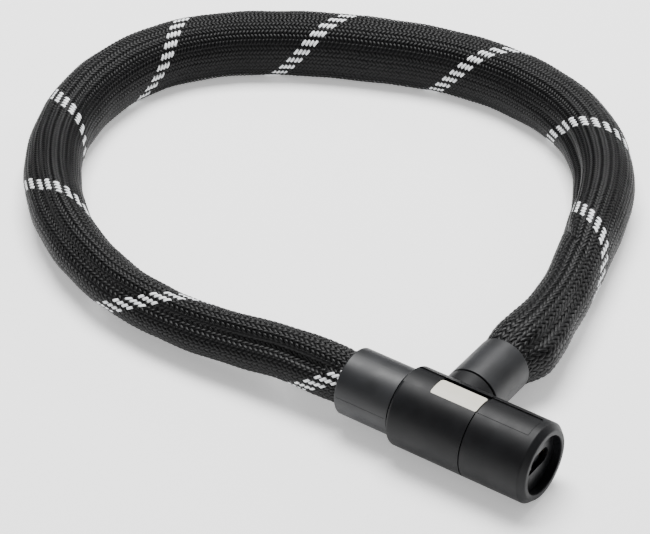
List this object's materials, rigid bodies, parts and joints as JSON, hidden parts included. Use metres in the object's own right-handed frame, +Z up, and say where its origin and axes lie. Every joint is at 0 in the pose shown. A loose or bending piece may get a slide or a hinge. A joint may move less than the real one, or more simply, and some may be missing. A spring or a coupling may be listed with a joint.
{
  "type": "chain lock",
  "caption": "Chain lock: a braided sleeve over square steel links loops from a cylindrical T-shaped lock head back into its side, with a shuttered keyhole in the round end.",
  "frame": {"origin": "on the surface that the lock lies on, under the middle of its bounding box", "axes": "+X along the head's axis towards the keyhole, +Y from the head's side plug towards the loop's far side, +Z up"},
  "size_m": [0.3736, 0.3001, 0.039],
  "materials": {
    "head_plastic": "moulded, fine matte grain",
    "boot_plastic": "moulded, satin",
    "label_plastic": "satin, blank",
    "case_steel": "turned",
    "chain_steel": "zinc plated, hardened",
    "pin_steel": "ground",
    "spring_steel": "drawn wire",
    "cylinder_brass": "machined",
    "guard_steel": "black, satin",
    "seal_rubber": "matt",
    "sleeve_braid": "braided nylon with pale reflective yarns"
  },
  "bodies": {
    "lock_head": {"anchor_lock_pin": "pin_steel", "cover_gasket": "seal_rubber", "cover_screws": "pin_steel", "cylinder_housing": "cylinder_brass", "cylinder_pin": "pin_steel", "end_cover": "head_plastic", "fixed_anchor": "case_steel", "fixed_boot": "boot_plastic", "fixed_link_pin": "pin_steel", "front_plate": "cylinder_brass", "head_cover": "head_plastic", "key_guard": "guard_steel", "label_plate": "label_plastic", "latch_spring": "spring_steel", "link_01": "chain_steel", "link_02": "chain_steel", "link_03": "chain_steel", "link_04": "chain_steel", "link_05": "chain_steel", "link_06": "chain_steel", "link_07": "chain_steel", "link_08": "chain_steel", "link_09": "chain_steel", "link_10": "chain_steel", "link_11": "chain_steel", "link_12": "chain_steel", "link_13": "chain_steel", "link_14": "chain_steel", "lock_case": "case_steel", "shutter_spring": "spring_steel", "sleeve": "sleeve_braid"},
    "key_drum": {"key_drum": "cylinder_brass", "detainer_disc_1": "cylinder_brass", "detainer_disc_2": "cylinder_brass", "detainer_disc_3": "cylinder_brass", "detainer_disc_4": "cylinder_brass", "detainer_disc_5": "cylinder_brass", "disc_spacers": "cylinder_brass", "sidebar": "pin_steel", "drive_cam": "case_steel"},
    "locking_latch": {"locking_latch": "case_steel"},
    "keyhole_shutter": {"keyhole_shutter": "guard_steel"},
    "chain_plug": {"chain_bolt": "case_steel", "side_boot": "boot_plastic", "side_link_pin": "pin_steel", "bolt_seal": "seal_rubber", "link_27": "chain_steel"},
    "chain_run_1": {"link_15": "chain_steel", "link_16": "chain_steel", "link_17": "chain_steel"},
    "chain_run_2": {"link_18": "chain_steel", "link_19": "chain_steel", "link_20": "chain_steel", "link_21": "chain_steel"},
    "chain_run_3": {"link_22": "chain_steel", "link_23": "chain_steel", "link_24": "chain_steel", "link_25": "chain_steel", "link_26": "chain_steel"}
  },
  "joints": [
    {"name": "key_turn", "type": "hinge", "parent": "lock_head", "child": "key_drum", "pos_m": [0.13379, -0.12882, 0.0195], "axis": [-1, 0, 0], "range_deg": [0, 90]},
    {"name": "latch_slide", "type": "slide", "parent": "lock_head", "child": "locking_latch", "axis": [0, 0, -1], "range_m": [0, 0.00424], "deforming": ["latch_spring"]},
    {"name": "shutter_slide", "type": "slide", "parent": "lock_head", "child": "keyhole_shutter", "axis": [0, 1, 0], "range_m": [0, 0.006], "stiffness_N_per_m": 30, "springref_m": -0.003, "deforming": ["shutter_spring"]},
    {"name": "plug_pull", "type": "slide", "parent": "lock_head", "child": "chain_plug", "axis": [0, 1, 0], "range_m": [0, 0.035], "deforming": ["sleeve"]},
    {"name": "chain_run_1_turn", "type": "hinge", "parent": "lock_head", "child": "chain_run_1", "pos_m": [-0.11685, 0.09685, 0.015], "axis": [0, 0, 1], "range_deg": [0, 8.4]},
    {"name": "chain_run_2_turn", "type": "hinge", "parent": "chain_run_1", "child": "chain_run_2", "pos_m": [-0.03477, 0.13209, 0.015], "axis": [0, 0, 1], "range_deg": [0, 2.8]},
    {"name": "chain_run_3_turn", "type": "hinge", "parent": "chain_run_2", "child": "chain_run_3", "pos_m": [0.08308, 0.09497, 0.015], "axis": [0, 0, 1], "range_deg": [-10.85, 0]}
  ],
  "couplings": [
    {"joint": "key_turn", "follows": "latch_slide", "rad_per_m": 370.4},
    {"joint": "chain_run_1_turn", "follows": "plug_pull", "rad_per_m": 4.1491},
    {"joint": "chain_run_2_turn", "follows": "plug_pull", "rad_per_m": 1.3515},
    {"joint": "chain_run_3_turn", "follows": "plug_pull", "rad_per_m": -5.3675}
  ]
}
